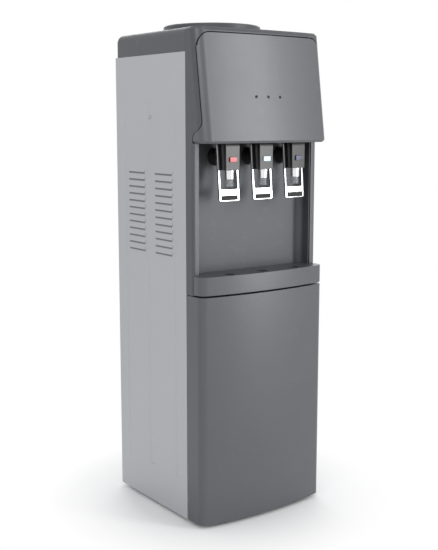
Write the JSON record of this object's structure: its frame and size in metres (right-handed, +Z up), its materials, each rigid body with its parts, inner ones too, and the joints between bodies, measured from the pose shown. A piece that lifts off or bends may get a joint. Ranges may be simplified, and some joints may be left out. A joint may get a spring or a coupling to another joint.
{
  "type": "bottom load water cooler",
  "caption": "Tall free-standing water dispenser with push-lever taps over a slide-out drip tray, a bottle bay behind a plain lower door, louvred steel sides and a round lid on top.",
  "frame": {"origin": "on the floor under the middle of the whole cooler's bounding box", "axes": "+Z up, -Y towards the person in front, +X to their right"},
  "size_m": [0.339, 0.3714, 1.075],
  "materials": {
    "silver_paint": "satin silver-grey",
    "zinc_steel": "plain zinc-coated",
    "dark_plastic": "fine satin dark grey",
    "black_plastic": "smooth black",
    "black_rubber": "matt",
    "lever_chrome": "bright",
    "clear_sleeve": "clear tube",
    "red_tag": "gloss",
    "pale_tag": "gloss",
    "blue_tag": "gloss",
    "dark_lens": "gloss",
    "board_green": "laminate",
    "white_plastic": "smooth white",
    "clear_plastic": "milky",
    "black_enamel": "gloss black",
    "stainless": "stainless",
    "foam": "foam",
    "steel_screw": "zinc plated"
  },
  "bodies": {
    "cabinet": {"left_side_panel": "silver_paint", "right_side_panel": "silver_paint", "base_pan": "zinc_steel", "feet": "black_rubber", "rear_panel": "silver_paint", "machine_deck": "zinc_steel", "tank_shelf": "zinc_steel", "bottle_bay_liner": "white_plastic", "probe_hook": "white_plastic", "probe_cap": "black_plastic", "dip_tube": "stainless", "top_cover": "dark_plastic", "control_panel": "dark_plastic", "front_housing": "dark_plastic", "splash_panel": "dark_plastic", "led_lenses": "dark_lens", "display_board": "board_green", "door_catch": "black_plastic", "hinge_brackets": "zinc_steel", "tap_body_hot": "black_plastic", "tap_body_warm": "black_plastic", "tap_body_cold": "black_plastic", "tap_tag_warm": "pale_tag", "tap_tag_cold": "blue_tag", "tap_spouts": "lever_chrome", "spout_sleeves": "clear_sleeve", "tap_nuts": "black_plastic", "lever_pins": "stainless", "condenser_coil": "black_enamel", "condenser_wires": "black_enamel", "condenser_brackets": "zinc_steel", "compressor": "black_enamel", "compressor_grommets": "black_rubber", "cold_tank": "stainless", "tank_insulation": "foam", "hot_tank": "stainless", "drain_port": "stainless", "water_pump": "white_plastic", "suction_tube": "clear_plastic", "fill_tube": "clear_plastic", "tap_tubes": "clear_plastic", "cord_gland": "black_plastic", "switch_bezels": "black_plastic", "cabinet_screws": "steel_screw"},
    "door": {"door_skin": "dark_plastic", "door_liner": "white_plastic"},
    "drip_tray": {"drip_tray": "dark_plastic"},
    "drip_grille": {"drip_grille": "dark_plastic"},
    "reservoir_lid": {"reservoir_lid": "dark_plastic", "lid_gasket": "black_rubber"},
    "lever_hot": {"tap_lever_hot": "lever_chrome", "lever_pad_hot": "black_plastic"},
    "lever_warm": {"tap_lever_warm": "lever_chrome", "lever_pad_warm": "black_plastic"},
    "lever_cold": {"tap_lever_cold": "lever_chrome", "lever_pad_cold": "black_plastic"},
    "hot_lock": {"lock_button_hot": "red_tag"},
    "hot_rocker": {"hot_switch": "red_tag"},
    "cold_rocker": {"cold_switch": "blue_tag"},
    "waste_cap": {"drain_cap": "black_plastic"}
  },
  "joints": [
    {"name": "door_hinge", "type": "hinge", "parent": "cabinet", "child": "door", "pos_m": [0.158, -0.12999, 0.2575], "axis": [0, 0, 1], "range_deg": [0, 105]},
    {"name": "drip_tray_slide", "type": "slide", "parent": "cabinet", "child": "drip_tray", "axis": [0, -1, 0], "range_m": [0, 0.1]},
    {"name": "drip_grille_lift", "type": "slide", "parent": "drip_tray", "child": "drip_grille", "axis": [0, 0, 1], "range_m": [0, 0.04]},
    {"name": "reservoir_lid_lift", "type": "slide", "parent": "cabinet", "child": "reservoir_lid", "axis": [0, 0, 1], "range_m": [0, 0.06]},
    {"name": "lever_hot_push", "type": "hinge", "parent": "cabinet", "child": "lever_hot", "pos_m": [-0.089, -0.14399, 0.826], "axis": [1, 0, 0], "range_deg": [0, 12], "stiffness_Nm_per_rad": 0.6, "springref_deg": -14.32},
    {"name": "lever_warm_push", "type": "hinge", "parent": "cabinet", "child": "lever_warm", "pos_m": [0, -0.14399, 0.826], "axis": [1, 0, 0], "range_deg": [0, 12], "stiffness_Nm_per_rad": 0.6, "springref_deg": -14.32},
    {"name": "lever_cold_push", "type": "hinge", "parent": "cabinet", "child": "lever_cold", "pos_m": [0.089, -0.14399, 0.826], "axis": [1, 0, 0], "range_deg": [0, 12], "stiffness_Nm_per_rad": 0.6, "springref_deg": -14.32},
    {"name": "hot_lock_press", "type": "slide", "parent": "cabinet", "child": "hot_lock", "axis": [0, 1, 0], "range_m": [0, 0.0025], "stiffness_N_per_m": 250, "springref_m": -0.002},
    {"name": "hot_rocker_tip", "type": "hinge", "parent": "cabinet", "child": "hot_rocker", "pos_m": [-0.10175, 0.16601, 0.962], "axis": [-1, 0, 0], "range_deg": [0, 12]},
    {"name": "cold_rocker_tip", "type": "hinge", "parent": "cabinet", "child": "cold_rocker", "pos_m": [-0.06575, 0.16601, 0.962], "axis": [-1, 0, 0], "range_deg": [0, 12]},
    {"name": "waste_cap_pull", "type": "slide", "parent": "cabinet", "child": "waste_cap", "axis": [0, 1, 0], "range_m": [0, 0.03]}
  ]
}
